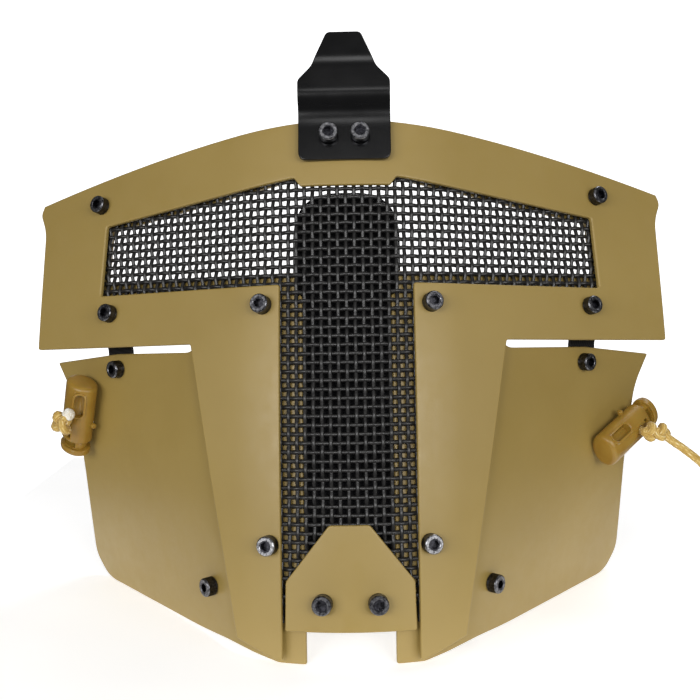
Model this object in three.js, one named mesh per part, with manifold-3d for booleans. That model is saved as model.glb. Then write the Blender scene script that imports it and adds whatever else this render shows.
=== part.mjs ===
// Mesh paintball mask for a helmet: a tan sheet visor with two face strips, two cheek plates and a
// chin plate, all screwed over one T-shaped screen of woven wire. A black hook on the brow goes up
// into a helmet, and an elastic cord with two push-button locks goes round the back of the head.
// Millimetres, +Z up. The face looks along -Y, and left and right are as seen from the front.
import * as THREE from 'three';
import { mergeVertices } from 'three/addons/utils/BufferGeometryUtils.js';
import Module from 'manifold-3d';

const wasm = await Module();
wasm.setup();

// Sheets and the clearance that pieces keep where they touch
const GAP = 0.3;
const PLATE = 2;
const SCREEN = 1.8;
const LINK = 1.5;
const BACKING = 1.5;
const PAD = 9;

// The bent front: round across the nose, straight wings, and a lean that eases off towards the chin
const BROW_RADIUS = 86;
const WING_ANGLE = THREE.MathUtils.degToRad(28.6);
const VISOR_LEAN = Math.tan(THREE.MathUtils.degToRad(13));
const CHIN_LEAN = Math.tan(THREE.MathUtils.degToRad(2));
const LEAN_TOP = 20;
const LEAN_FOOT = -60;

// The cheeks leave the front under the strips' outer edges and turn back more towards the jaw
const STRIP_TOP = { x: 59.2, z: 3.4 };
const STRIP_FOOT = { x: 41.2, z: -101.4 };
const CHEEK_COVER = 7;
const CHEEK_BEND = 12;
const CHEEK_TOP_SLOPE = 0.8;
const CHEEK_FOOT_SLOPE = 1.25;
const CHEEK_HEIGHT = 100;

// Socket-head screws and their nuts
const HEAD = { radius: 3.5, height: 4, chamfer: 0.4, socket: 1.75, socketDepth: 2.2 };
const SHANK = { radius: 2, hole: 2.35, past: 1.2, sides: 8 };
const NUT = { radius: 4, height: 3.2 };

// Wire screen: each gap stands for nearly four by four meshes of the real weave
const NET_PITCH = 12;
const NET_GAP = 9;
const NET_FIRST_ROW = 29.7;

// Window in the visor: the slots' top edge falls from the step beside the nose to the slot's end
const SLOT = {
  foot: 24.6, endX: 98.6, endFoot: 23, endTop: 51.2, stepX: 19, stepTop: 64, noseX: 24.4, noseTop: 60.8,
};

// Helmet hook of sheet steel
const HOOK_SHEET = 1.5;
const HOOK_HALF_WIDTH = 17;

// Cord locks: a flat-sided barrel with a sprung button, lying on the cheek over the cord's hole
const LOCK_HOLES = { left: { x: -111, z: -27.8 }, right: { x: 112, z: -33.5 } };
const LOCK_HOLE_RADIUS = 2.2;
const LOCK_SEAT = 0.45;
const LOCK_SIDES = 10;
const BARREL = { radius: 7.4, flat: 5.8, back: -19.5, mouth: 6.6, bore: 3.9, floor: -9.2, cordHole: 2.1 };
const WINDOW = { start: -16.5, end: -6, halfWidth: 2, depth: 4.2, turn: -142 };
const BUTTON = { stem: 3.6, end: -5.6, flange: 7.2, flangeFoot: 10.2, top: 14, travel: 3 };

// Elastic cord, and how far back the mask leans where it stands on its tabs and cheeks
const CORD_RADIUS = 1.75;
const CORD_STEP = 11;
const LEAN_BACK = THREE.MathUtils.degToRad(5.53);

const TAN = { color: '#a88f58', roughness: 0.5, metalness: 0 };
const BLACK_WIRE = { color: '#1b1b1d', roughness: 0.45, metalness: 0.6 };
const BLACK_STEEL = { color: '#17171a', roughness: 0.4, metalness: 0.5 };
const SCREW_STEEL = { color: '#35353a', roughness: 0.35, metalness: 0.9 };
const BLACK_STRAP = { color: '#151517', roughness: 0.6, metalness: 0 };
const BLACK_FOAM = { color: '#121214', roughness: 0.95, metalness: 0 };
const CORD_TAN = { color: '#a98a4c', roughness: 0.8, metalness: 0 };
const LOCK_TAN = { color: '#9a7a34', roughness: 0.4, metalness: 0 };

// Bent surfaces: depth behind the front as a function of x across and z up
const wingX = BROW_RADIUS * Math.sin(WING_ANGLE);

function browDepth(x) {
  const round = Math.min(Math.abs(x), wingX);
  const wing = Math.abs(x) - round;
  return BROW_RADIUS - Math.sqrt(BROW_RADIUS ** 2 - round ** 2) + wing * Math.tan(WING_ANGLE);
}

function leanDepth(z) {
  const eased = THREE.MathUtils.clamp(z, LEAN_FOOT, LEAN_TOP);
  const rate = (VISOR_LEAN - CHIN_LEAN) / (2 * (LEAN_TOP - LEAN_FOOT));
  const curved = CHIN_LEAN * eased + rate * ((eased - LEAN_FOOT) ** 2 - LEAN_FOOT ** 2);
  return curved + (z - eased) * (z > eased ? VISOR_LEAN : CHIN_LEAN);
}

function frontSurface(x, z) {
  return browDepth(x) + leanDepth(z);
}

function slopes(surface, x, z) {
  const step = 0.05;
  const across = (surface(x + step, z) - surface(x - step, z)) / (2 * step);
  const up = (surface(x, z + step) - surface(x, z - step)) / (2 * step);
  return { across, up };
}

function behind(surface, depth) {
  return (x, z) => {
    const { across, up } = slopes(surface, x, z);
    return surface(x, z) + depth * Math.hypot(1, across, up);
  };
}

const CHEEK_LAYER = PLATE + GAP + SCREEN + GAP;
const cheekRoot = behind(frontSurface, CHEEK_LAYER);

function stripEdge(z) {
  const rise = (z - STRIP_FOOT.z) / (STRIP_TOP.z - STRIP_FOOT.z);
  return STRIP_FOOT.x + rise * (STRIP_TOP.x - STRIP_FOOT.x);
}

function cheekSurface(x, z) {
  const bendX = stripEdge(z) - CHEEK_COVER;
  const across = Math.abs(x);
  const rooted = Math.min(across, bendX);
  const rolled = Math.min(across - rooted, CHEEK_BEND);
  const straight = across - rooted - rolled;
  const startSlope = slopes(frontSurface, Math.min(bendX, wingX - 1), z).across;
  const endSlope = THREE.MathUtils.lerp(CHEEK_TOP_SLOPE, CHEEK_FOOT_SLOPE, -z / CHEEK_HEIGHT);
  const roll = startSlope * rolled + (endSlope - startSlope) * rolled ** 2 / (2 * CHEEK_BEND);
  return cheekRoot(rooted, z) + roll + endSlope * straight;
}

// The link straps cross from the back of the screen to the back of the cheek
const LINK_TOP = 11;
const LINK_FOOT = 0.5;
const LINK_LAYER = PLATE + 2 * GAP;
const behindScreen = behind(frontSurface, CHEEK_LAYER);
const behindCheek = behind(cheekSurface, LINK_LAYER);

function linkSurface(x, z) {
  const share = THREE.MathUtils.smoothstep(z, LINK_FOOT, LINK_TOP);
  return THREE.MathUtils.lerp(behindCheek(x, z), behindScreen(x, z), share);
}

function outward(surface, x, z) {
  const { across, up } = slopes(surface, x, z);
  return new THREE.Vector3(across, -1, up).normalize();
}

function onSurface(surface, x, z, height) {
  const point = new THREE.Vector3(x, surface(x, z), z);
  return point.addScaledVector(outward(surface, x, z), height);
}

// Solids in and out of the boolean library. Kept facets stay as they are when they lie in one plane
function solid(geometry, keepFacets = false) {
  geometry.deleteAttribute('normal');
  geometry.deleteAttribute('uv');
  const merged = mergeVertices(geometry, 1e-5);
  const mesh = {
    numProp: 3,
    vertProperties: new Float32Array(merged.attributes.position.array),
    triVerts: new Uint32Array(merged.index.array),
  };
  if (keepFacets) mesh.faceID = Uint32Array.from({ length: mesh.triVerts.length / 3 }, (_, i) => i);
  return new wasm.Manifold(new wasm.Mesh(mesh));
}

function geometryOf(manifold) {
  const mesh = manifold.getMesh();
  const geometry = new THREE.BufferGeometry();
  geometry.setAttribute('position', new THREE.BufferAttribute(mesh.vertProperties, 3));
  geometry.setIndex(new THREE.BufferAttribute(mesh.triVerts, 1));
  return geometry;
}

// Outlines: rows of x across, z up and r, how far back from the corner its rounding starts
const CURVE_STEPS = 4;

function outline(rows) {
  const shape = new THREE.Shape();
  rows.forEach((row, i) => {
    const corner = new THREE.Vector2(row.x, row.z);
    const before = rows.at(i - 1);
    const after = rows[(i + 1) % rows.length];
    const start = new THREE.Vector2(before.x, before.z).sub(corner).setLength(row.r).add(corner);
    const end = new THREE.Vector2(after.x, after.z).sub(corner).setLength(row.r).add(corner);
    if (i === 0) shape.moveTo(start.x, start.y);
    else shape.lineTo(start.x, start.y);
    if (row.r > 0) shape.quadraticCurveTo(corner.x, corner.y, end.x, end.y);
  });
  return shape;
}

function rowsOf(table) {
  return table.map(([x, z, r]) => ({ x, z, r }));
}

function mirrored(rows) {
  return rows.map(({ x, z, r }) => ({ x: -x, z, r })).reverse();
}

function bothHalves(rows) {
  return [...rows, ...mirrored(rows)];
}

function pierce(shape, surface, x, z, radius) {
  const { across, up } = slopes(surface, x, z);
  const hole = new THREE.Path();
  hole.absellipse(x, z, radius / Math.hypot(1, across), radius / Math.hypot(1, up), 0, 2 * Math.PI);
  shape.holes.push(hole);
}

// A sheet is cut flat to its outline on a grid of columns and rows, then laid on its bent surface
function flatGrid(columns, rows, back, front) {
  const box = new THREE.BoxGeometry(1, 1, 1, columns.length - 1, rows.length - 1, 1);
  const place = box.attributes.position;
  for (let i = 0; i < place.count; i += 1) {
    const column = Math.round((place.getX(i) + 0.5) * (columns.length - 1));
    const row = Math.round((place.getY(i) + 0.5) * (rows.length - 1));
    place.setXYZ(i, columns[column], rows[row], place.getZ(i) < 0 ? back : front);
  }
  // The back's cells are halved along the same diagonals as the front's, so that the wall stays even
  const backFace = box.groups[5];
  for (let i = backFace.start; i < backFace.start + backFace.count; i += 6) {
    const [a, b, d, , c] = box.index.array.slice(i, i + 6);
    box.index.array.set([a, b, c, a, c, d], i);
  }
  return solid(box, true);
}

function prism(shapes, back, front) {
  const margin = 1;
  const depth = front - back + 2 * margin;
  const body = new THREE.ExtrudeGeometry(shapes, { depth, bevelEnabled: false, curveSegments: CURVE_STEPS });
  return solid(body.translate(0, 0, back - margin));
}

function sheet(shape, surface, grid, front, thickness, gaps = []) {
  const back = front - thickness;
  const blank = flatGrid(grid.columns, grid.rows, back, front).intersect(prism(shape, back, front));
  const cut = gaps.length > 0 ? blank.subtract(prism(gaps, back, front)) : blank;
  const geometry = geometryOf(cut);
  const place = geometry.attributes.position;
  for (let i = 0; i < place.count; i += 1) {
    const point = onSurface(surface, place.getX(i), place.getY(i), place.getZ(i));
    place.setXYZ(i, point.x, point.y, point.z);
  }
  return geometry;
}

function sheetX(arc) {
  const round = Math.min(Math.abs(arc), BROW_RADIUS * WING_ANGLE);
  const wing = Math.abs(arc) - round;
  return Math.sign(arc) * (BROW_RADIUS * Math.sin(round / BROW_RADIUS) + wing * Math.cos(WING_ANGLE));
}

const bendColumns = [-4, -3, -2, -1, 0, 1, 2, 3, 4].map((n) => sheetX(n * NET_PITCH));
const bendRows = [-7.5, -5.5, -3.5, -1.5].map((n) => NET_FIRST_ROW + n * NET_PITCH);
const frontGrid = { columns: [-140, ...bendColumns, 140], rows: [-120, ...bendRows, 100] };
const cheekColumns = [10, ...bendColumns.slice(6), 53, 59, 65, 80, 95, 135];
const cheekRows = [-120, -84, ...bendRows, 30];
const rightCheekGrid = { columns: cheekColumns, rows: cheekRows };
const leftCheekGrid = { columns: cheekColumns.map((x) => -x).reverse(), rows: cheekRows };

const mask = new THREE.Group();
const SIDES = { left: -1, right: 1 };

function addPiece(parent, name, geometry, look) {
  const mesh = new THREE.Mesh(geometry, new THREE.MeshStandardMaterial(look));
  mesh.name = name;
  parent.add(mesh);
  return mesh;
}

// Screws: x and z of each right-hand screw, the surface it stands on, how far its seat stands in
// front of that surface, and how far the clamped stack goes behind it
const SCREWS = {
  brow: { x: 99.7, z: 59.8, surface: frontSurface, seat: 0, stack: PLATE + GAP + SCREEN },
  temple: { x: 94.1, z: 15.6, surface: frontSurface, seat: 0, stack: CHEEK_LAYER + LINK },
  strip_top: { x: 30.2, z: 17.1, surface: frontSurface, seat: 0, stack: CHEEK_LAYER + PLATE },
  strip_foot: { x: 28.1, z: -67.3, surface: frontSurface, seat: 0, stack: CHEEK_LAYER + PLATE },
  chin: { x: 9.5, z: -87, surface: frontSurface, seat: 0, stack: PLATE + GAP + SCREEN },
  cheek_top: { x: 93.8, z: -6.4, surface: cheekSurface, seat: 0, stack: LINK_LAYER + LINK },
  cheek_foot: { x: 51.6, z: -86.6, surface: cheekSurface, seat: 0, stack: PLATE },
};
const HOOK_SCREW = { x: 5.8, z: 78.8, seat: GAP + HOOK_SHEET, stack: PLATE + GAP };

// Holes where the screws' axes come through a sheet that lies at some depth behind their seats
function screwHoles(shape, surface, names, signs, depth = 0) {
  for (const name of names) {
    const screw = SCREWS[name];
    for (const sign of signs) {
      const axis = onSurface(screw.surface, sign * screw.x, screw.z, -depth);
      pierce(shape, surface, axis.x, axis.z, SHANK.hole);
    }
  }
}

// Visor: brow, wings and the two face strips in one sheet
const BROW_TOP = 85.8;
const BROW_PULL = { x: 52, z: 84.9 };
const BROW_END = { x: 129.3, z: 62.5 };

function visorShape() {
  const brow = new THREE.QuadraticBezierCurve(
    new THREE.Vector2(0, BROW_TOP),
    new THREE.Vector2(BROW_PULL.x, BROW_PULL.z),
    new THREE.Vector2(BROW_END.x, BROW_END.z),
  );
  const browRows = brow.getPoints(8).map(({ x, y }) => ({ x, z: y, r: 0 }));
  const sideRows = rowsOf([
    [130.9, 58.8, 2],
    [127.9, 51.5, 4],
    [128.8, 1.8, 1],
    [STRIP_TOP.x, STRIP_TOP.z, 1],
    [STRIP_FOOT.x, STRIP_FOOT.z, 0.6],
    [25.4, -108, 0.8],
    [SLOT.noseX, -107.3, 0.4],
    [SLOT.noseX, SLOT.foot, 1],
    [SLOT.endX + 0.8, SLOT.endFoot, 1],
    [SLOT.endX - 0.8, SLOT.endTop, 1],
    [SLOT.stepX, SLOT.stepTop, 0.8],
    [16.7, SLOT.noseTop, 0.8],
  ]);
  const half = [...browRows.slice(1), ...sideRows];
  const shape = outline(bothHalves(half));
  screwHoles(shape, frontSurface, ['brow', 'temple', 'strip_top', 'strip_foot'], [-1, 1]);
  for (const sign of [-1, 1]) {
    pierce(shape, frontSurface, sign * HOOK_SCREW.x, HOOK_SCREW.z, SHANK.hole + 0.3);
  }
  return shape;
}

addPiece(mask, 'visor_plate', sheet(visorShape(), frontSurface, frontGrid, 0, PLATE), TAN);

// Chin plate between the strips' feet
const CHIN_TOP = -60.1;

function chinShape() {
  const shape = outline(bothHalves(rowsOf([
    [7.2, CHIN_TOP, 1],
    [22.8, -80, 1],
    [23.2, -97.2, 0.8],
  ])));
  screwHoles(shape, frontSurface, ['chin'], [-1, 1]);
  return shape;
}

addPiece(mask, 'chin_plate', sheet(chinShape(), frontSurface, frontGrid, 0, PLATE), TAN);

// Wire screen: a T behind the window, cut through in a coarse net
function netGaps() {
  const gaps = [];
  for (let column = -7.5; column <= 7.5; column += 1) {
    for (let row = -9; row <= 2; row += 1) {
      const x = sheetX(column * NET_PITCH);
      const z = NET_FIRST_ROW + row * NET_PITCH;
      const slotTop = SLOT.stepTop - (SLOT.stepTop - SLOT.endTop) * (Math.abs(x) - SLOT.stepX)
        / (SLOT.endX - SLOT.stepX);
      const inSlot = row >= 0 && z + NET_GAP / 2 < Math.min(slotTop, SLOT.noseTop + 1);
      const overFace = row < 0 && Math.abs(column) < 2 && z - NET_GAP / 2 > CHIN_TOP - Math.abs(x);
      if (!inSlot && !overFace) continue;
      const left = sheetX(column * NET_PITCH - NET_GAP / 2);
      const right = sheetX(column * NET_PITCH + NET_GAP / 2);
      const foot = z - NET_GAP / 2;
      const top = z + NET_GAP / 2;
      gaps.push(outline(rowsOf([[left, foot, 0], [right, foot, 0], [right, top, 0], [left, top, 0]])));
    }
  }
  return gaps;
}

function screenShape() {
  const shape = outline(bothHalves(rowsOf([
    [10, 71, 0],
    [107, 64.5, 3],
    [107, 11.5, 3],
    [37.5, 11.5, 0],
    [37.5, -95, 2],
  ])));
  screwHoles(shape, frontSurface, ['brow', 'temple', 'strip_top', 'strip_foot', 'chin'], [-1, 1]);
  return shape;
}

const screenFront = -PLATE - GAP;
const screen = sheet(screenShape(), frontSurface, frontGrid, screenFront, SCREEN, netGaps());
addPiece(mask, 'wire_screen', screen, BLACK_WIRE);

// Cheek plates: the inner end runs behind the strip and shows as a tab below the chin plate
const CHEEK_ROWS = rowsOf([
  [16, -109.8, 0.8],
  [16, 21, 2],
  [46, 21, 3],
  [59.7, 0.3, 3],
  [95, -0.4, 0],
  [127.4, -4.3, 0.8],
  [121, -17.5, 6],
  [117.6, -46, 10],
  [117.3, -91, 4],
  [110.8, -101, 5],
  [85, -103.3, 0],
  [58.4, -105.4, 6],
  [42, -105.4, 6],
  [26, -109.8, 0.8],
]);

for (const [side, sign] of Object.entries(SIDES)) {
  const shape = outline(sign > 0 ? CHEEK_ROWS : mirrored(CHEEK_ROWS));
  screwHoles(shape, cheekSurface, ['strip_top', 'strip_foot'], [sign], CHEEK_LAYER);
  screwHoles(shape, cheekSurface, ['cheek_top', 'cheek_foot'], [sign]);
  pierce(shape, cheekSurface, LOCK_HOLES[side].x, LOCK_HOLES[side].z, LOCK_HOLE_RADIUS);
  const grid = sign > 0 ? rightCheekGrid : leftCheekGrid;
  addPiece(mask, `${side}_cheek_plate`, sheet(shape, cheekSurface, grid, 0, PLATE), TAN);
}

// Link straps from the temple screws to the cheeks' top screws
const LINK_MIDDLE = 94.6;
const LINK_HALF_WIDTH = 5.9;

for (const [side, sign] of Object.entries(SIDES)) {
  const middle = sign * LINK_MIDDLE;
  const top = SCREWS.temple.z + 6;
  const foot = SCREWS.cheek_top.z - 6;
  const shape = outline(rowsOf([
    [middle + LINK_HALF_WIDTH, top, 0],
    [middle - LINK_HALF_WIDTH, top, 0],
    [middle - LINK_HALF_WIDTH, foot, 0],
    [middle + LINK_HALF_WIDTH, foot, 0],
  ]));
  screwHoles(shape, linkSurface, ['temple'], [sign], CHEEK_LAYER);
  screwHoles(shape, linkSurface, ['cheek_top'], [sign], LINK_LAYER);
  const grid = { columns: [middle - 8, middle + 8], rows: [-20, LINK_FOOT, 3, 5.75, 8.5, LINK_TOP, 30] };
  addPiece(mask, `${side}_link_strap`, sheet(shape, linkSurface, grid, 0, LINK), BLACK_STRAP);
}

// Backing strips: they go round the two halves of the window behind the screen and show through it
const BACKING_ROWS = rowsOf([
  [24.6, 23.2, 0],
  [107, 23.2, 0],
  [107, 53, 0],
  [19.5, 68.2, 0],
  [19.5, 64.6, 0],
  [98.4, 50.2, 0],
  [99.6, 28.6, 0],
  [24.6, 30, 0],
]);

for (const [side, sign] of Object.entries(SIDES)) {
  const shape = outline(sign > 0 ? BACKING_ROWS : mirrored(BACKING_ROWS));
  addPiece(mask, `${side}_backing_strip`, sheet(shape, frontSurface, frontGrid, -CHEEK_LAYER, BACKING), TAN);
}

// Nose pad: a foam strip with a waist, on the back of the cheeks' inner ends
const padShape = outline(bothHalves(rowsOf([
  [21.8, 60.5, 18],
  [21.6, 9, 6],
  [17.4, 2, 5],
  [15.2, -32, 3],
  [19.8, -37, 3],
  [18.8, -76, 4],
])));
const padFront = -CHEEK_LAYER - PLATE - 0.4;
addPiece(mask, 'nose_pad', sheet(padShape, frontSurface, frontGrid, padFront, PAD), BLACK_FOAM);

// Helmet hook: a bent strip, seen from the side as rows of z up and y back, cut to its front outline
const HOOK_FOOT = 69.6;
const hookBack = (z) => leanDepth(z) - (GAP + HOOK_SHEET / 2) * Math.hypot(1, VISOR_LEAN);
const HOOK_BENDS = [
  { y: hookBack(HOOK_FOOT), z: HOOK_FOOT, r: 0 },
  { y: hookBack(88), z: 88, r: 2.2 },
  { y: 14.8, z: 93.4, r: 2.2 },
  { y: 17.6, z: 107, r: 2.2 },
  { y: 24.7, z: 119.4, r: 0 },
];

function hookPath() {
  const path = new THREE.Path();
  HOOK_BENDS.forEach((bend, i) => {
    const corner = new THREE.Vector2(bend.y, bend.z);
    if (i === 0) {
      path.moveTo(corner.x, corner.y);
      return;
    }
    const before = new THREE.Vector2(HOOK_BENDS[i - 1].y, HOOK_BENDS[i - 1].z);
    const start = before.sub(corner).setLength(bend.r).add(corner);
    path.lineTo(start.x, start.y);
    if (bend.r === 0) return;
    const after = new THREE.Vector2(HOOK_BENDS[i + 1].y, HOOK_BENDS[i + 1].z);
    const end = after.sub(corner).setLength(bend.r).add(corner);
    path.quadraticCurveTo(corner.x, corner.y, end.x, end.y);
  });
  return path.getPoints(4);
}

function hookGeometry() {
  const middle = hookPath();
  const sides = middle.map((point, i) => {
    const before = middle[Math.max(i - 1, 0)];
    const after = middle[Math.min(i + 1, middle.length - 1)];
    const along = after.clone().sub(before).setLength(HOOK_SHEET / 2);
    const across = new THREE.Vector2(-along.y, along.x);
    return { front: point.clone().add(across), back: point.clone().sub(across) };
  });
  const profile = new THREE.Shape([...sides.map((s) => s.back), ...sides.reverse().map((s) => s.front)]);
  const strip = new THREE.ExtrudeGeometry(profile, { depth: 2 * HOOK_HALF_WIDTH + 4, bevelEnabled: false });
  strip.translate(0, 0, -HOOK_HALF_WIDTH - 2);
  strip.applyMatrix4(new THREE.Matrix4().makeBasis(
    new THREE.Vector3(0, 1, 0),
    new THREE.Vector3(0, 0, 1),
    new THREE.Vector3(1, 0, 0),
  ));
  const shape = outline(bothHalves(rowsOf([
    [6.4, 119, 1.6],
    [11.9, 104.7, 1.5],
    [HOOK_HALF_WIDTH, 99.4, 1.2],
    [HOOK_HALF_WIDTH, HOOK_FOOT + 0.3, 3.2],
  ])));
  pierce(shape, () => 0, HOOK_SCREW.x, HOOK_SCREW.z, SHANK.hole + 0.15);
  pierce(shape, () => 0, -HOOK_SCREW.x, HOOK_SCREW.z, SHANK.hole + 0.15);
  const front = new THREE.ExtrudeGeometry(shape, { depth: 60, bevelEnabled: false, curveSegments: 5 });
  front.rotateX(Math.PI / 2);
  front.translate(0, 50, 0);
  return geometryOf(solid(strip).intersect(solid(front)));
}

addPiece(mask, 'helmet_hook', hookGeometry(), BLACK_STEEL);

// Screws and nuts
function screwGeometry(length) {
  const rim = HEAD.radius - HEAD.chamfer;
  const profile = [
    [0, -length], [SHANK.radius, -length], [SHANK.radius, 0], [HEAD.radius, 0],
    [HEAD.radius, HEAD.height - HEAD.chamfer], [rim, HEAD.height], [0, HEAD.height],
  ].map(([r, h]) => new THREE.Vector2(r, h));
  const body = new THREE.LatheGeometry(profile, SHANK.sides);
  const socket = new THREE.CylinderGeometry(HEAD.socket, HEAD.socket, 2 * HEAD.socketDepth, 6);
  socket.translate(0, HEAD.height, 0);
  return geometryOf(solid(body).subtract(solid(socket)));
}

function nutGeometry() {
  const corners = [0, 1, 2, 3, 4, 5].map((corner) => corner * Math.PI / 3);
  const shape = new THREE.Shape(corners.map((turn) => (
    new THREE.Vector2(NUT.radius * Math.cos(turn), NUT.radius * Math.sin(turn))
  )));
  const hole = new THREE.Path();
  hole.absarc(0, 0, SHANK.hole, 0, 2 * Math.PI);
  shape.holes.push(hole);
  const nut = new THREE.ExtrudeGeometry(shape, { depth: NUT.height, bevelEnabled: false, curveSegments: 3 });
  return nut.rotateX(Math.PI / 2);
}

function addScrew(name, place, direction, seat, stack) {
  const turn = new THREE.Quaternion().setFromUnitVectors(new THREE.Vector3(0, 1, 0), direction);
  const length = seat + GAP + stack + GAP + NUT.height + SHANK.past;
  const screw = addPiece(mask, `${name}_screw`, screwGeometry(length), SCREW_STEEL);
  screw.position.copy(place).addScaledVector(direction, seat + GAP);
  screw.quaternion.copy(turn);
  const nut = addPiece(mask, `${name}_nut`, nutGeometry(), SCREW_STEEL);
  nut.position.copy(place).addScaledVector(direction, -stack - GAP);
  nut.quaternion.copy(turn);
}

for (const [side, sign] of Object.entries(SIDES)) {
  for (const [name, screw] of Object.entries(SCREWS)) {
    const place = onSurface(screw.surface, sign * screw.x, screw.z, 0);
    const direction = outward(screw.surface, sign * screw.x, screw.z);
    addScrew(`${side}_${name}`, place, direction, screw.seat, screw.stack);
  }
  const hookPlace = new THREE.Vector3(sign * HOOK_SCREW.x, leanDepth(HOOK_SCREW.z), HOOK_SCREW.z);
  const hookDirection = outward(frontSurface, 0, HOOK_SCREW.z);
  addScrew(`${side}_hook`, hookPlace, hookDirection, HOOK_SCREW.seat, HOOK_SCREW.stack + 0.3);
}

// Cord locks: turn is the way of the button, from straight up the cheek towards its rear edge
const LOCK_TURN = { left: 154, right: 62 };

function lathe(rows, sides) {
  const profile = rows.map(([r, along]) => new THREE.Vector2(r, along));
  return solid(new THREE.LatheGeometry(profile, sides).rotateZ(-Math.PI / 2));
}

function flatSided(manifold) {
  return manifold.intersect(solid(new THREE.BoxGeometry(60, 2 * BARREL.flat, 60)));
}

function barrelGeometry() {
  const { radius, back, mouth, bore, floor } = BARREL;
  const body = flatSided(lathe([
    [0, back], [4.2, back + 0.4], [6.4, back + 1.5], [radius, back + 3],
    [radius, mouth], [bore, mouth], [bore, floor], [0, floor],
  ], LOCK_SIDES));
  const cordHole = new THREE.CylinderGeometry(BARREL.cordHole, BARREL.cordHole, 30, 10);
  const { start, end, halfWidth, depth, turn } = WINDOW;
  const windowShape = outline(rowsOf([
    [start, halfWidth, 1.8], [start, -halfWidth, 1.8], [end, -halfWidth, 1.8], [end, halfWidth, 1.8],
  ]));
  const window = new THREE.ExtrudeGeometry(windowShape, { depth: 8, bevelEnabled: false, curveSegments: 3 });
  window.translate(0, 0, depth).rotateX(THREE.MathUtils.degToRad(turn));
  return geometryOf(body.subtract(solid(cordHole)).subtract(solid(window)));
}

function buttonGeometry() {
  const { stem, end, flange, flangeFoot, top, travel } = BUTTON;
  const body = flatSided(lathe([
    [0, end], [stem, end], [stem, flangeFoot], [flange - 0.4, flangeFoot], [flange, flangeFoot + 0.5],
    [flange, top - 1.2], [flange - 1.2, top], [0, top],
  ], LOCK_SIDES));
  const reach = BARREL.cordHole;
  const slot = new THREE.BoxGeometry(2 * reach + travel, 30, 2 * reach);
  slot.translate(travel / 2, 0, 0);
  return geometryOf(body.subtract(solid(slot)));
}

function lockFrame(side) {
  const sign = SIDES[side];
  const { x, z } = LOCK_HOLES[side];
  const out = outward(cheekSurface, x, z);
  const rear = new THREE.Vector3(0, 0, sign).cross(out).normalize();
  const up = out.clone().cross(rear).multiplyScalar(sign);
  const turn = THREE.MathUtils.degToRad(LOCK_TURN[side]);
  const along = up.multiplyScalar(Math.cos(turn)).addScaledVector(rear, Math.sin(turn)).normalize();
  const basis = new THREE.Matrix4().makeBasis(along, out, along.clone().cross(out));
  return basis.setPosition(onSurface(cheekSurface, x, z, LOCK_SEAT + BARREL.flat));
}

const locks = {};

for (const side of Object.keys(SIDES)) {
  const lock = new THREE.Group();
  locks[side] = lock;
  lockFrame(side).decompose(lock.position, lock.quaternion, lock.scale);
  addPiece(lock, `${side}_lock_barrel`, barrelGeometry(), LOCK_TAN);
  addPiece(lock, `${side}_lock_button`, buttonGeometry(), LOCK_TAN);
  mask.add(lock);
}

// Knots outside the locks, each of two lumps: a ball with its melted tip, and two balls side by side.
// Columns: lump's radius, and x, y, z in the lock's frame
const KNOT_SEAT = BARREL.flat + GAP;
const KNOTS = {
  left: [[4.7, -3.3, KNOT_SEAT + 4.7, -2], [2.4, -8, KNOT_SEAT + 2.9, -5.5]],
  right: [[3.8, 0, KNOT_SEAT + 3.8, 0], [3.4, 2.4, KNOT_SEAT + 7.6, 0.5]],
};

function lump([radius, x, y, z]) {
  return solid(new THREE.SphereGeometry(radius, 8, 6).translate(x, y, z));
}

for (const [side, [ball, second]] of Object.entries(KNOTS)) {
  addPiece(locks[side], `${side}_knot`, geometryOf(lump(ball).add(lump(second))), CORD_TAN);
}

// The mask stands on the tabs below its chin and the rear corners of its cheeks
mask.rotation.x = -LEAN_BACK;
const reach = new THREE.Box3().setFromObject(mask, true);
mask.position.set(0, -(reach.min.y + reach.max.y) / 2, -reach.min.z);

const part = new THREE.Group();
part.add(mask);

// The cord's loop from the left knot through both locks, and its loose tail from the right knot.
// Columns: x, y, z as the mask stands, with the floor at z = 0
const LOOP_ROUTE = [
  [-119.1, 24.4, 74],
  [-111, 33.3, 75],
  [-106, 38.8, 75.6],
  [-101.5, 43.8, 72.8],
  [-97.8, 47.6, 64.5],
  [-94.4, 50.2, 51],
  [-92.3, 52.9, 33.5],
  [-89.5, 57, 16.5],
  [-86, 63.5, 5.9],
  [-79.5, 72, 2.4],
  [-67, 82, 2.2],
  [-48, 90, 2.2],
  [-25, 94.3, 2.2],
  [0, 95.5, 2.2],
  [25, 94.3, 2.2],
  [48, 90, 2.2],
  [67, 82, 2.2],
  [79.5, 72.5, 2.4],
  [86.5, 64.5, 5.9],
  [90.5, 58.5, 16],
  [93, 54.5, 31],
  [95.3, 51.8, 45.5],
  [98.4, 48.8, 59.2],
  [102.2, 45.2, 67.3],
  [106.4, 41, 69.9],
  [112, 35, 69.1],
  [120.2, 26.2, 67.9],
];
const TAIL_ROUTE = [
  [130.4, 21.6, 64.9],
  [136.6, 21, 60.4],
  [143.9, 20.4, 54.2],
  [150.6, 20, 45.5],
  [155.8, 20, 34.5],
  [159.5, 20.3, 22.8],
  [161.8, 21.4, 13],
  [163.1, 25.2, 5.6],
  [163.4, 32.5, 2.4],
  [162.4, 42, 2.2],
  [160.5, 52, 2.2],
];
const TAIL_KNOT = { radius: 3.6, x: 159.9, y: 55.9, z: 3.9 };

function cordGeometry(route) {
  const path = new THREE.CatmullRomCurve3(route.map(([x, y, z]) => new THREE.Vector3(x, y, z)));
  const section = new THREE.Shape();
  section.absarc(0, 0, CORD_RADIUS, 0, 2 * Math.PI);
  const steps = Math.ceil(path.getLength() / CORD_STEP);
  return new THREE.ExtrudeGeometry(section, { steps, extrudePath: path, curveSegments: 4 });
}

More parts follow.
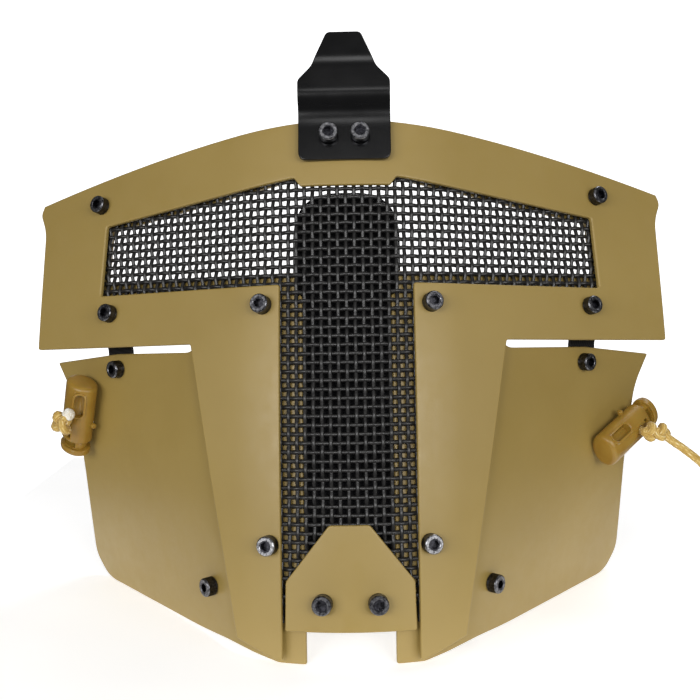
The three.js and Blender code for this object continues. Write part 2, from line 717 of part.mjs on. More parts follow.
addPiece(part, 'strap_cord_loop', cordGeometry(LOOP_ROUTE), CORD_TAN);
addPiece(part, 'strap_cord_tail', cordGeometry(TAIL_ROUTE), CORD_TAN);
const tailKnot = addPiece(part, 'tail_knot', new THREE.SphereGeometry(TAIL_KNOT.radius, 8, 6), CORD_TAN);
tailKnot.position.set(TAIL_KNOT.x, TAIL_KNOT.y, TAIL_KNOT.z);

export default part;
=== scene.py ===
"""Mesh paintball mask: bent tan plates screwed over a screen of woven wire, with a helmet hook at the
brow and an elastic cord held by two push-button locks. It stands on a pale floor by itself."""
import math

import bpy
import numpy as np
from mathutils import Matrix, Vector


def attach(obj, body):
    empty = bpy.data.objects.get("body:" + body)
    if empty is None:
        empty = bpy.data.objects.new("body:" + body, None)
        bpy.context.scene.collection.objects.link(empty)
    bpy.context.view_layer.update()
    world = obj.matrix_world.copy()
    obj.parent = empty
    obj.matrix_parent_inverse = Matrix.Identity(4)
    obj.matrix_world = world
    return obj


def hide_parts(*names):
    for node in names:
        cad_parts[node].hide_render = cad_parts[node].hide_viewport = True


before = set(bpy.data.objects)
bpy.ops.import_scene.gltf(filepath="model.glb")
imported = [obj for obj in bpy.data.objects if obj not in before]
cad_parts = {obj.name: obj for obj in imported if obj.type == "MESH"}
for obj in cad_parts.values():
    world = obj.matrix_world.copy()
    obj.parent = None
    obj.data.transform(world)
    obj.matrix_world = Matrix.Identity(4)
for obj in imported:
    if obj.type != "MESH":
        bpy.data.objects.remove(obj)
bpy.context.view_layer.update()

# Sizes of the plates in millimetres, in the mask's own frame: x across, z up, the face along -y
GAP = 0.3
PLATE = 2.0
SCREEN = 1.8
STRAP = 1.5
BACKING = 1.5
PAD = 9.0
PLATE_RIM = 0.6
PAD_RIM = 1.2
THIN_RIM = 0.3

# The bent front: round across the nose, straight wings, and a lean that eases off towards the chin
BROW_RADIUS = 86.0
WING_ANGLE = math.radians(28.6)
WING_X = BROW_RADIUS * math.sin(WING_ANGLE)
VISOR_LEAN = math.tan(math.radians(13))
CHIN_LEAN = math.tan(math.radians(2))
LEAN_TOP = 20.0
LEAN_FOOT = -60.0

# The cheeks leave the front under the strips' outer edges and turn back more towards the jaw
STRIP_TOP = (59.2, 3.4)
STRIP_FOOT = (41.2, -101.4)
CHEEK_COVER = 7.0
CHEEK_BEND = 12.0
CHEEK_TOP_SLOPE = 0.8
CHEEK_FOOT_SLOPE = 1.25
CHEEK_HEIGHT = 100.0
CHEEK_LAYER = PLATE + GAP + SCREEN + GAP
STRAP_LAYER = PLATE + 2 * GAP
STRAP_TOP = 11.0
STRAP_FOOT = 0.5

# Where the mask stands: it leans back on its tabs and cheeks, with the floor at z = 0
LEAN_BACK = math.radians(5.53)
SEAT_MM = (0.0, -35.1679, 109.5515)
MM = 0.001
TO_WORLD = Matrix.Scale(MM, 4) @ Matrix.Translation(SEAT_MM) @ Matrix.Rotation(-LEAN_BACK, 4, "X")
SIDES = {"left": -1, "right": 1}


# Bent surfaces: depth behind the front as a function of x across and z up

def brow_depth(x):
    across = np.abs(x)
    rounded = np.minimum(across, WING_X)
    arc = BROW_RADIUS - np.sqrt(BROW_RADIUS ** 2 - rounded ** 2)
    return arc + (across - rounded) * math.tan(WING_ANGLE)


def lean_depth(z):
    eased = np.clip(z, LEAN_FOOT, LEAN_TOP)
    rate = (VISOR_LEAN - CHIN_LEAN) / (2 * (LEAN_TOP - LEAN_FOOT))
    curved = CHIN_LEAN * eased + rate * ((eased - LEAN_FOOT) ** 2 - LEAN_FOOT ** 2)
    return curved + (z - eased) * np.where(z > eased, VISOR_LEAN, CHIN_LEAN)


def front_surface(x, z):
    return brow_depth(x) + lean_depth(z)


def slopes(surface, x, z):
    step = 0.05
    across = (surface(x + step, z) - surface(x - step, z)) / (2 * step)
    up = (surface(x, z + step) - surface(x, z - step)) / (2 * step)
    return across, up


def behind(surface, depth):
    def deeper(x, z):
        across, up = slopes(surface, x, z)
        return surface(x, z) + depth * np.sqrt(1 + across ** 2 + up ** 2)
    return deeper


def strip_edge(z):
    rise = (z - STRIP_FOOT[1]) / (STRIP_TOP[1] - STRIP_FOOT[1])
    return STRIP_FOOT[0] + rise * (STRIP_TOP[0] - STRIP_FOOT[0])


def cheek_surface(x, z):
    bend_x = strip_edge(z) - CHEEK_COVER
    across = np.abs(x)
    rooted = np.minimum(across, bend_x)
    rolled = np.minimum(across - rooted, CHEEK_BEND)
    straight = across - rooted - rolled
    start = slopes(front_surface, np.minimum(bend_x, WING_X - 1), z)[0]
    end = CHEEK_TOP_SLOPE + (CHEEK_FOOT_SLOPE - CHEEK_TOP_SLOPE) * (-z / CHEEK_HEIGHT)
    roll = start * rolled + (end - start) * rolled ** 2 / (2 * CHEEK_BEND)
    return behind(front_surface, CHEEK_LAYER)(rooted, z) + roll + end * straight


def strap_surface(x, z):
    share = np.clip((z - STRAP_FOOT) / (STRAP_TOP - STRAP_FOOT), 0, 1)
    share = share * share * (3 - 2 * share)
    on_cheek = behind(cheek_surface, STRAP_LAYER)(x, z)
    return on_cheek + share * (behind(front_surface, CHEEK_LAYER)(x, z) - on_cheek)


def on_surface(surface, x, z, height):
    """Points at a height in front of a surface, and the surface's outward normals, in millimetres."""
    x, z = np.asarray(x, float), np.asarray(z, float)
    across, up = slopes(surface, x, z)
    normal = np.stack([across, -np.ones_like(across), up], -1)
    normal /= np.linalg.norm(normal, axis=-1, keepdims=True)
    return np.stack([x, surface(x, z), z], -1) + normal * np.asarray(height)[..., None], normal


# Outlines: rows of x, z and r, how far back from the corner its rounding starts

def rounded(before, corner, after, steps):
    """Points on the curve from one point to another that a corner pulls out."""
    return [before * (1 - t) ** 2 + corner * 2 * t * (1 - t) + after * t ** 2
            for t in np.linspace(0, 1, steps + 1)]


def outline(rows, steps=6):
    points = []
    for i, (x, z, r) in enumerate(rows):
        corner = Vector((x, z))
        if r == 0:
            points.append(corner)
            continue
        before = corner + r * (Vector(rows[i - 1][:2]) - corner).normalized()
        after = corner + r * (Vector(rows[(i + 1) % len(rows)][:2]) - corner).normalized()
        points += rounded(before, corner, after, steps)
    return points


def mirrored(rows):
    return [(-x, z, r) for x, z, r in reversed(rows)]


def both_halves(rows):
    return rows + mirrored(rows)


def round_hole(surface, x, z, radius, points=20):
    across, up = slopes(surface, x, z)
    turns = [2 * math.pi * i / points for i in range(points)]
    wide, high = radius / math.hypot(1, across), radius / math.hypot(1, up)
    return [Vector((x + wide * math.cos(t), z + high * math.sin(t))) for t in turns]


# Handling of objects

def deselect():
    bpy.ops.object.select_all(action="DESELECT")


def take(obj):
    deselect()
    obj.select_set(True)
    bpy.context.view_layer.objects.active = obj


def edit(obj, mode="VERT"):
    take(obj)
    bpy.ops.object.mode_set(mode="EDIT")
    bpy.ops.mesh.select_mode(type=mode)
    bpy.ops.mesh.select_all(action="SELECT")


def leave_edit():
    bpy.ops.object.mode_set(mode="OBJECT")


def apply_modifier(obj, kind, **settings):
    modifier = obj.modifiers.new(kind.lower(), kind)
    for key, value in settings.items():
        setattr(modifier, key, value)
    take(obj)
    bpy.ops.object.modifier_apply(modifier=modifier.name)


def new_object(name, data):
    obj = bpy.data.objects.new(name, data)
    bpy.context.scene.collection.objects.link(obj)
    return obj


def mesh_object(name, vertices, faces, edges=()):
    mesh = bpy.data.meshes.new(name)
    mesh.from_pydata([tuple(v) for v in vertices], edges, [tuple(f) for f in faces])
    mesh.update()
    return new_object(name, mesh)


def tube_faces(first, rings, sides):
    """The side faces of a tube, whose rings of points follow each other from a first point on."""
    starts = range(first, first + (rings - 1) * sides, sides)
    around = [(s, (s + 1) % sides) for s in range(sides)]
    return [(a + s, a + e, a + sides + e, a + sides + s) for a in starts for s, e in around]


def smooth(obj, degrees):
    take(obj)
    bpy.ops.object.shade_smooth_by_angle(angle=math.radians(degrees))


def copied(pattern, name, matrix):
    """A copy of a pattern piece with its own mesh, set in place by a matrix."""
    obj = new_object(name, pattern.data.copy())
    obj.data.name = name
    obj.data.transform(matrix)
    return obj


def fit_out(obj, node, material, body="root"):
    """A finished piece: its material, the body that carries it and the plain solid it stands for."""
    if material is not None:
        obj.data.materials.clear()
        obj.data.materials.append(material)
    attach(obj, body)
    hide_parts(node)
    return obj


# Materials

def linear(hex_colour):
    """An sRGB hex colour as linear RGBA."""
    parts = [int(hex_colour[i:i + 2], 16) / 255 for i in (1, 3, 5)]
    return [p / 12.92 if p <= 0.04045 else ((p + 0.055) / 1.055) ** 2.4 for p in parts] + [1.0]


def add_node(tree, kind, settings=None, **inputs):
    """Adds a node with its settings; an input is a value, or a socket to link from."""
    node = tree.nodes.new(kind)
    for key, value in (settings or {}).items():
        setattr(node, key, value)
    for key, value in inputs.items():
        socket = node.inputs[int(key[1:]) if key[1:].isdigit() else key.replace("_", " ")]
        if isinstance(value, bpy.types.NodeSocket):
            tree.links.new(value, socket)
        else:
            socket.default_value = value
    return node


def new_material(name, **principled):
    """A material with its principled shader, and the object coordinates in millimetres."""
    material = bpy.data.materials.new(name)
    material.use_nodes = True
    tree = material.node_tree
    shader = tree.nodes["Principled BSDF"]
    for key, value in principled.items():
        shader.inputs[key.replace("_", " ")].default_value = value
    coordinates = add_node(tree, "ShaderNodeTexCoord")
    in_mm = add_node(tree, "ShaderNodeVectorMath", {"operation": "SCALE"},
                     _0=coordinates.outputs["Object"], Scale=1 / MM)
    return material, tree, in_mm.outputs[0]


def colour_ramp(tree, factor, stops):
    node = add_node(tree, "ShaderNodeValToRGB", Fac=factor)
    ramp = node.color_ramp
    while len(ramp.elements) < len(stops):
        ramp.elements.new(0.5)
    for element, (place, colour) in zip(ramp.elements, stops):
        element.position = place
        element.color = linear(colour)
    return node.outputs["Color"]


def noise(tree, place, size_mm, detail, roughness=0.5):
    """Noise whose patches have a size in millimetres."""
    node = add_node(tree, "ShaderNodeTexNoise", Vector=place, Scale=1 / size_mm, Detail=detail,
                    Roughness=roughness)
    return node.outputs["Fac"]


def finish(material, tone, stops, gloss=None, gloss_from=(0, 1), bump=None):
    """The colour from a ramp over a tone; the roughness from a source, a low and a high; and the bump
    from a source, a strength and a depth in millimetres."""
    tree = material.node_tree
    shader = tree.nodes["Principled BSDF"]
    tree.links.new(colour_ramp(tree, tone, stops), shader.inputs["Base Color"])
    if gloss:
        source, low, high = gloss
        spread = add_node(tree, "ShaderNodeMapRange", Value=source, From_Min=gloss_from[0],
                          From_Max=gloss_from[1], To_Min=low, To_Max=high)
        tree.links.new(spread.outputs[0], shader.inputs["Roughness"])
    if bump:
        source, strength, depth_mm = bump
        relief = add_node(tree, "ShaderNodeBump", Height=source, Strength=strength,
                          Distance=depth_mm * MM)
        tree.links.new(relief.outputs[0], shader.inputs["Normal"])
    return material


def tan_sheet():
    """Die-cut and heat-bent polypropylene sheet: satin, with a fine pebbled grain and faint handling
    marks that only show in the gloss."""
    material, tree, place = new_material(
        "Polypropylene_sheet_die_cut_tan", IOR=1.49, Specular_IOR_Level=0.7)
    broad_mm, grain_mm, scuff_mm = 55, 0.7, 6
    broad = noise(tree, place, broad_mm, 3)
    grain = noise(tree, place, grain_mm, 2)
    scuff = noise(tree, place, scuff_mm, 5, 0.65)
    return finish(material, broad, [(0.3, "#967e40"), (0.7, "#9d8547")],
                  gloss=(scuff, 0.4, 0.52), gloss_from=(0.3, 0.7), bump=(grain, 0.18, 0.04))


def black_wire():
    """Plain-woven steel wire, dipped in black paint: gloss on the crests, duller in the crossings."""
    material, tree, place = new_material(
        "Woven_steel_wire_painted_black", IOR=1.5, Specular_IOR_Level=0.5)
    paint_mm = 1.4
    paint = noise(tree, place, paint_mm, 3)
    return finish(material, paint, [(0.35, "#181717"), (0.7, "#2c2b2a")], gloss=(paint, 0.25, 0.42),
                  bump=(paint, 0.3, 0.05))


def black_steel():
    """Pressed steel with a black powder coat: semi-gloss with a slight orange peel."""
    material, tree, place = new_material(
        "Sheet_steel_powder_coated_black", IOR=1.5, Specular_IOR_Level=0.5)
    peel_mm, dust_mm = 1.1, 9
    peel = noise(tree, place, peel_mm, 1)
    dust = noise(tree, place, dust_mm, 4)
    return finish(material, dust, [(0.3, "#050506"), (0.75, "#0b0b0c")], gloss=(dust, 0.17, 0.27),
                  bump=(peel, 0.15, 0.05))


def screw_steel(name, dark, light, low, high):
    """Turned alloy steel, blackened: a dark metal, lighter in small random patches; its lighter copies
    paint a highlight on the heads' top rims.
    """
    material, tree, place = new_material(name, Metallic=1.0)
    mottle_mm = 0.8
    mottle = noise(tree, place, mottle_mm, 4)
    return finish(material, mottle, [(0.35, dark), (0.7, light)], gloss=(mottle, low, high))


def black_strap():
    """Black polyester webbing, hot-pressed flat: a fine twill in the bump and a matt face."""
    material, tree, place = new_material(
        "Polyester_webbing_pressed_black", Roughness=0.62, IOR=1.5, Specular_IOR_Level=0.35)
    thread_mm = 0.9
    twill = add_node(tree, "ShaderNodeTexWave", {"bands_direction": "DIAGONAL"}, Vector=place,
                     Scale=2 * math.pi / (20 * thread_mm), Distortion=0.6).outputs["Fac"]
    return finish(material, twill, [(0.2, "#111113"), (0.9, "#1f1f22")], bump=(twill, 0.4, 0.15))


def black_foam():
    """Closed-cell EVA foam, cut from sheet: matt black with small open pores."""
    material, tree, place = new_material(
        "EVA_foam_closed_cell_black", Roughness=0.92, IOR=1.45, Specular_IOR_Level=0.25)
    pore_mm, patch_mm = 0.8, 14
    pores = add_node(tree, "ShaderNodeTexVoronoi", Vector=place, Scale=1 / pore_mm)
    patch = noise(tree, place, patch_mm, 3)
    return finish(material, patch, [(0.3, "#0d0d0f"), (0.7, "#18181b")],
                  bump=(pores.outputs["Distance"], 0.5, 0.25))


def lock_plastic():
    """Injection-moulded acetal, tan: a little glossier and yellower than the plates, with light under
    the skin."""
    material, tree, place = new_material(
        "Acetal_moulded_tan", IOR=1.48, Specular_IOR_Level=0.5, Subsurface_Weight=0.08,
        Subsurface_Scale=0.8 * MM)
    flow_mm, skin_mm = 7, 0.5
    flow = noise(tree, place, flow_mm, 3)
    skin = noise(tree, place, skin_mm, 1)
    return finish(material, flow, [(0.3, "#8f6c24"), (0.7, "#9b7a2f")], gloss=(flow, 0.3, 0.42),
                  bump=(skin, 0.1, 0.03))


def elastic_cord():
    """Braided polyester cover over a rubber core: gold strands with paler ones between, each strand of
    fine filaments. The braid itself is in the mesh, and its strand attribute picks the colour, with
    painted shade darkening the grooves between strands."""
    material, tree, place = new_material(
        "Polyester_braid_over_rubber_gold", Roughness=0.72, IOR=1.5, Specular_IOR_Level=0.3,
        Sheen_Weight=0.25, Sheen_Roughness=0.4)
    strand = add_node(tree, "ShaderNodeAttribute", {"attribute_name": "strand"})
    fluff_mm = 0.35
    fluff = noise(tree, place, fluff_mm, 2)
    mixed = add_node(tree, "ShaderNodeMath", {"operation": "MULTIPLY_ADD"}, _0=fluff, _1=0.5,
                     _2=strand.outputs["Fac"])
    return finish(material, mixed.outputs[0],
                  [(0.2, "#7a5d26"), (0.45, "#b8954a"), (0.75, "#d8bd78"), (1.0, "#f3e7c4")],
                  bump=(fluff, 0.5, 0.12))


def melted_tip():
    """Polyester filaments melted at the cut end: whitish, crumbly and slightly glossy."""
    material, tree, place = new_material(
        "Polyester_melted_white", Roughness=0.5, IOR=1.5, Specular_IOR_Level=0.45)
    crumb_mm = 0.6
    crumb = noise(tree, place, crumb_mm, 3)
    return finish(material, crumb, [(0.35, "#d9cfb6"), (0.6, "#f4f1ea")], bump=(crumb, 0.6, 0.3))


TAN_SHEET = tan_sheet()
BLACK_WIRE = black_wire()
BLACK_STEEL = black_steel()
SCREW_BLACK = screw_steel("Alloy_steel_blackened", "#2b2b2f", "#55555b", 0.25, 0.4)
# Lighter copies of the blackened steel: a painted highlight for the heads' top rims, bright or grey
SCREW_RIM_HIGHLIGHT = screw_steel("Alloy_steel_painted_highlight_bright", "#6f6f73", "#c3c3c6", 0.2, 0.4)
SCREW_RIM_GREY_HIGHLIGHT = screw_steel("Alloy_steel_painted_highlight_grey", "#3c3c40", "#8a8a8e", 0.25, 0.42)
BLACK_STRAP = black_strap()
BLACK_FOAM = black_foam()
LOCK_PLASTIC = lock_plastic()
ELASTIC_CORD = elastic_cord()
MELTED_TIP = melted_tip()


# Camera: the photograph's, 0.35 m before the mask and turned with it

FOCAL_PIXELS = 1009.0
FRAME_PIXELS = 700.0
SENSOR_MM = 36.0
CAMERA_MM = (8.21, -354.72, 6.14)
CAMERA_YAW, CAMERA_PITCH, CAMERA_ROLL = (math.radians(a) for a in (1.149, -0.891, -0.933))


def add_camera():
    data = bpy.data.cameras.new("camera")
    data.sensor_width = SENSOR_MM
    data.lens = FOCAL_PIXELS / FRAME_PIXELS * SENSOR_MM
    data.clip_start = 0.01
    camera = new_object("camera", data)
    turn = (Matrix.Rotation(CAMERA_YAW, 4, "Z") @ Matrix.Rotation(math.pi / 2 + CAMERA_PITCH, 4, "X")
            @ Matrix.Rotation(CAMERA_ROLL, 4, "Z"))
    place, rotation, _ = (TO_WORLD @ Matrix.Translation(CAMERA_MM) @ turn).decompose()
    camera.matrix_world = Matrix.LocRotScale(place, rotation, None)
    bpy.context.scene.camera = camera


def add_area_light(name, place, target, size, power):
    data = bpy.data.lights.new(name, "AREA")
    data.shape = "DISK"
    data.size = size
    data.energy = power
    light = new_object(name, data)
    light.location = place
    light.rotation_euler = (Vector(target) - Vector(place)).to_track_quat("-Z", "Y").to_euler()


WHITE = (1, 1, 1, 1)
FLOOR_SIZE = (0.4, 0.38, 1)
WALL_SIZE = (1.7, 1.7, 1)


def studio_sheet(name, size, place, tilt, material):
    deselect()
    bpy.ops.mesh.primitive_plane_add(size=1, location=place, rotation=(tilt, 0, 0))
    sheet = bpy.context.object
    sheet.name = name
    sheet.scale = size
    bpy.ops.object.transform_apply()
    sheet.data.materials.append(material)
    return sheet


def add_studio():
    """A lit white floor and wall, soft boxes round the front, and small ones above for the hook."""
    paper, tree, place = new_material(
        "Acrylic_sheet_lit_from_below", Roughness=0.9, Specular_IOR_Level=0.1, Emission_Color=WHITE,
        Emission_Strength=0.5)
    clouding_mm = 50
    clouding = noise(tree, place, clouding_mm, 2)
    finish(paper, clouding, [(0.3, "#f6f6f6"), (0.7, "#fbfbfb")])
    floor = studio_sheet("floor", FLOOR_SIZE, (0, 0.11, 0), 0, paper)
    glow, *_ = new_material("Acrylic_sheet_lit_white", Roughness=0.8, Emission_Color=WHITE,
                            Emission_Strength=1.15)
    wall = studio_sheet("lit_wall", WALL_SIZE, (0, 1.6, 0.15), math.pi / 2, glow)
    middle = (0.0, 0.0, 0.11)
    add_area_light("left_box", (-0.76, -0.88, 0.32), middle, 0.6, 4.1)
    add_area_light("right_box", (0.76, -0.88, 0.32), middle, 0.6, 3.8)
    add_area_light("left_front_box", (-0.36, -1.02, 0.36), middle, 0.3, 3.3)
    add_area_light("right_front_box", (0.36, -1.02, 0.36), middle, 0.3, 3.1)
    add_area_light("hook_box", (0.0, -0.92, 0.78), middle, 0.2, 0.25)
    add_area_light("top_box", (0.0, -0.45, 1.10), middle, 0.22, 0.36)
    add_area_light("floor_box", (0.5, 0.5, 1.20), (0.0, 0.1, 0.0), 0.6, 4)
    world = bpy.data.worlds.new("studio")
    world.use_nodes = True
    background = world.node_tree.nodes["Background"]
    background.inputs["Color"].default_value = WHITE
    background.inputs["Strength"].default_value = 0.12
    bpy.context.scene.world = world
    bpy.context.scene.view_settings.view_transform = "Standard"


add_camera()
add_studio()


# The cord's routes in metres as the mask stands: x, y, z

LOOP_ROUTE = [
    (-0.1191, 0.0244, 0.074), (-0.111, 0.0333, 0.075), (-0.106, 0.0388, 0.0756),
    (-0.1015, 0.0438, 0.0728), (-0.0978, 0.0476, 0.0645), (-0.0944, 0.0502, 0.051),
    (-0.0923, 0.0529, 0.0335), (-0.0895, 0.057, 0.0165), (-0.086, 0.0635, 0.0059),
    (-0.0795, 0.072, 0.0024), (-0.067, 0.082, 0.0022), (-0.048, 0.09, 0.0022),
    (-0.025, 0.0943, 0.0022), (0.0, 0.0955, 0.0022), (0.025, 0.0943, 0.0022),
    (0.048, 0.09, 0.0022), (0.067, 0.082, 0.0022), (0.0795, 0.0725, 0.0024),
    (0.0865, 0.0645, 0.0059), (0.0905, 0.0585, 0.016), (0.093, 0.0545, 0.031),
    (0.0953, 0.0518, 0.0455), (0.0984, 0.0488, 0.0592), (0.1022, 0.0452, 0.0673),
    (0.1064, 0.041, 0.0699), (0.112, 0.035, 0.0691), (0.1202, 0.0262, 0.0679),
]
TAIL_ROUTE = [
    (0.1304, 0.0216, 0.0649), (0.1366, 0.021, 0.0604), (0.1439, 0.0204, 0.0542),
    (0.1506, 0.02, 0.0455), (0.1558, 0.02, 0.0345), (0.1595, 0.0203, 0.0228),
    (0.1618, 0.0214, 0.013), (0.1631, 0.0252, 0.0056), (0.1634, 0.0325, 0.0024),
    (0.1624, 0.042, 0.0022), (0.1605, 0.052, 0.0022),
]
# Inside the right-hand knot, where the tail comes from
TAIL_ROOT = (0.1277, 0.0221, 0.0673)
CORD_RADIUS = 1.75 * MM


def smooth_line(points, step):
    """A centripetal Catmull-Rom curve through points, sampled at an even step."""
    points = [np.array(p, float) for p in points]
    points = [2 * points[0] - points[1], *points, 2 * points[-1] - points[-2]]
    line = []
    for a, b, c, d in zip(points, points[1:], points[2:], points[3:]):
        ta, tb, tc = (max(np.linalg.norm(q - p), 1e-9) ** 0.5 for p, q in ((a, b), (b, c), (c, d)))
        into = ((b - a) / ta - (c - a) / (ta + tb) + (c - b) / tb) * tb
        out = ((c - b) / tb - (d - b) / (tb + tc) + (d - c) / tc) * tb
        for t in np.linspace(0, 1, 40, endpoint=False):
            line.append((2 * t ** 3 - 3 * t ** 2 + 1) * b + (t ** 3 - 2 * t ** 2 + t) * into
                        + (3 * t ** 2 - 2 * t ** 3) * c + (t ** 3 - t ** 2) * out)
    line = np.array([*line, points[-2]])
    along = np.concatenate([[0], np.cumsum(np.linalg.norm(np.diff(line, axis=0), axis=1))])
    places = np.linspace(0, along[-1], max(int(along[-1] / step), 2) + 1)
    return np.stack([np.interp(places, along, line[:, k]) for k in range(3)], -1)


def rings_along(line):
    """Two unit vectors across the line at each of its points, turning as little as they can."""
    tangent = np.gradient(line, axis=0)
    tangent /= np.linalg.norm(tangent, axis=1, keepdims=True)
    side = np.cross(tangent[0], (0.3, 0.2, 0.93))
    sides = []
    for t in tangent:
        side = side - t * (side @ t)
        side = side / np.linalg.norm(side)
        sides.append(side)
    sides = np.array(sides)
    return sides, np.cross(tangent, sides)


BRAID_STRANDS = 8
BRAID_LAY = 4.5 * MM
BRAID_RELIEF = 0.2 * MM
BRAID_SIDES = 32
# How light each strand is, round the cord: gold, with a few cream and brown ones
STRAND_TONES = np.array([0.45, 0.7, 0.5, 0.3, 0.5, 0.65, 0.45, 0.55])


def braided_tube(name, route, radius=CORD_RADIUS, step=0.28 * MM):
    """A closed tube along a route, with a diamond braid raised on it and a strand attribute: each
    strand's tone, with painted shade in the grooves between strands.
    """
    line = smooth_line(route, step)
    side, across = rings_along(line)
    along = np.arange(len(line)) * np.linalg.norm(line[1] - line[0])
    turn = np.arange(BRAID_SIDES) * 2 * math.pi / BRAID_SIDES
    lay = along[:, None] / BRAID_LAY
    one = BRAID_STRANDS * turn[None] / (2 * math.pi) + lay
    other = BRAID_STRANDS * turn[None] / (2 * math.pi) - lay
    relief = np.abs(np.sin(math.pi * one) * np.sin(math.pi * other))
    reach = radius - BRAID_RELIEF * (1 - relief)
    points = (line[:, None] + reach[..., None] * (np.cos(turn)[None, :, None] * side[:, None]
                                                  + np.sin(turn)[None, :, None] * across[:, None]))
    rings = len(line)
    vertices = list(points.reshape(-1, 3)) + [line[0], line[-1]]
    faces = tube_faces(0, rings, BRAID_SIDES)
    last = (rings - 1) * BRAID_SIDES
    first_middle, last_middle = rings * BRAID_SIDES, rings * BRAID_SIDES + 1
    for s in range(BRAID_SIDES):
        e = (s + 1) % BRAID_SIDES
        faces.append((e, s, first_middle))
        faces.append((last + s, last + e, last_middle))
    obj = mesh_object(name, vertices, faces)
    first, second = np.floor(one).astype(int), np.floor(other).astype(int)
    on_top = np.where((first + second) % 2, first, second)
    tone = STRAND_TONES[on_top % BRAID_STRANDS]
    # Each strand's tone, darkened where the braid sinks: painted shade in the grooves between strands
    values = np.concatenate([(tone * (0.35 + 0.65 * relief)).reshape(-1), [0.3, 0.3]]).astype(np.float32)
    obj.data.attributes.new("strand", "FLOAT", "POINT").data.foreach_set("value", values)
    smooth(obj, 60)
    return obj, line


loop_cord, loop_line = braided_tube("elastic_cord_loop", LOOP_ROUTE)
fit_out(loop_cord, "strap_cord_loop", ELASTIC_CORD)
tail_cord, tail_line = braided_tube("elastic_cord_tail", [TAIL_ROOT, *TAIL_ROUTE])
fit_out(tail_cord, "strap_cord_tail", ELASTIC_CORD)


# Cord locks: their frames, with x out of the cheek, z towards the button and the cord along x

LOCK_HOLES = {"left": (-111.0, -27.8), "right": (112.0, -33.5)}
LOCK_TURN = {"left": math.radians(154), "right": math.radians(62)}
LOCK_SEAT = 0.45
LOCK_FLAT = 5.8


def lock_frame(side):
    sign = SIDES[side]
    point, normal = on_surface(cheek_surface, *LOCK_HOLES[side], LOCK_SEAT + LOCK_FLAT)
    out = Vector(normal)
    rear = Vector((0, 0, sign)).cross(out).normalized()
    up = out.cross(rear) * sign
    along = (up * math.cos(LOCK_TURN[side]) + rear * math.sin(LOCK_TURN[side])).normalized()
    across = along.cross(out)
    turn = Matrix((out, across, along)).transposed().to_4x4()
    return TO_WORLD @ Matrix.Translation(point) @ turn


LOCK_FRAMES = {side: lock_frame(side) for side in SIDES}


# Knots: overhand knots outside the locks, as points in the lock's frame in millimetres

def overhand(centre, size, height, start_turn):
    """The middle of an overhand knot about an axis along x, without its two ends."""
    points = []
    for t in np.linspace(0.35, 2 * math.pi - 0.35, 22):
        a = t + start_turn
        u = math.sin(a) + 2 * math.sin(2 * a)
        v = math.cos(a) - 2 * math.cos(2 * a)
        lift = height * math.sin(3 * a)
        points.append((centre[0] - lift, centre[1] + size * u, centre[2] + size * v))
    return points


def in_lock(side, points):
    return [LOCK_FRAMES[side] @ Vector(p) for p in points]


def melted_end(name, place, radius):
    deselect()
    bpy.ops.mesh.primitive_ico_sphere_add(subdivisions=4, radius=radius)
    tip = bpy.context.object
    tip.name = name
    rng = np.random.default_rng(7)
    waves = rng.normal(size=(14, 3)) * 1.9 / radius
    phases = rng.uniform(0, 2 * math.pi, 14)
    for v in tip.data.vertices:
        swell = sum(math.sin(w @ np.array(v.co) + p) for w, p in zip(waves, phases)) / 14
        v.co *= 1 + 0.8 * swell
    tip.data.transform(Matrix.Translation(place))
    return tip


def joined(name, pieces):
    deselect()
    for piece in pieces:
        piece.select_set(True)
    bpy.context.view_layer.objects.active = pieces[0]
    bpy.ops.object.join()
    pieces[0].name = name
    return pieces[0]


def left_knot():
    middle = overhand((10.0, -3.2, -4.0), 1.35, 1.6, math.pi)
    route = in_lock("left", [(6.2, 0, 0), *middle, (10.2, -5.4, -7.2), (9.6, -5.9, -8.2)])
    knot, _ = braided_tube("left_overhand_knot", route, 1.8 * MM)
    knot.data.materials.append(ELASTIC_CORD)
    tip = melted_end("left_tip", LOCK_FRAMES["left"] @ Vector((9.3, -6.1, -8.8)), 2.5 * MM)
    tip.data.materials.append(MELTED_TIP)
    return joined("left_overhand_knot", [knot, tip])


def right_knot():
    first = overhand((9.9, 0, 0), 1.0, 1.4, math.pi)
    route = in_lock("right", [(6.2, 0, 0), *first, (13.2, 0.4, 2.2)])
    knot, _ = braided_tube("right_overhand_knot", route, 1.6 * MM)
    second = overhand((13.6, 0.5, 2.4), 0.9, 1.2, 0.6)
    other, _ = braided_tube("right_second_knot", in_lock("right", second), 1.5 * MM)
    both = joined("right_overhand_knot", [knot, other])
    both.data.materials.append(ELASTIC_CORD)
    return both


TAIL_KNOT = Vector((0.1599, 0.0559, 0.0039))


def tail_knot():
    ends = overhand((0, 0, 0), 0.78, 0.95, 0.4)
    turn = Matrix.Translation(TAIL_KNOT) @ Matrix.Rotation(math.radians(90), 4, "Y") @ Matrix.Scale(MM, 4)
    knot, _ = braided_tube("tail_overhand_knot", [turn @ Vector(p) for p in ends], 1.15 * MM)
    knot.data.materials.append(ELASTIC_CORD)
    return knot


left_knot_piece = fit_out(left_knot(), "left_knot", None)
right_knot_piece = fit_out(right_knot(), "right_knot", None)
tail_knot_piece = fit_out(tail_knot(), "tail_knot", None)


# Sheets: cut flat to their outlines with rounded rims, ruled into cells, then bent

def cut_blank(name, loops, thickness, rim):
    """A flat sheet in x and y, thick along z about z = 0, from its outline and holes."""
    curve = bpy.data.curves.new(name, "CURVE")
    curve.dimensions = "2D"
    curve.fill_mode = "BOTH"
    curve.extrude = thickness / 2 - rim
    curve.bevel_depth = rim
    curve.bevel_resolution = 2
    curve.offset = -rim
    for loop in loops:
        spline = curve.splines.new("POLY")
        spline.points.add(len(loop) - 1)
        for point, place in zip(spline.points, loop):
            point.co = (place.x, place.y, 0, 1)
        spline.use_cyclic_u = True
    take(new_object(name, curve))
    bpy.ops.object.convert(target="MESH")
    return bpy.context.object


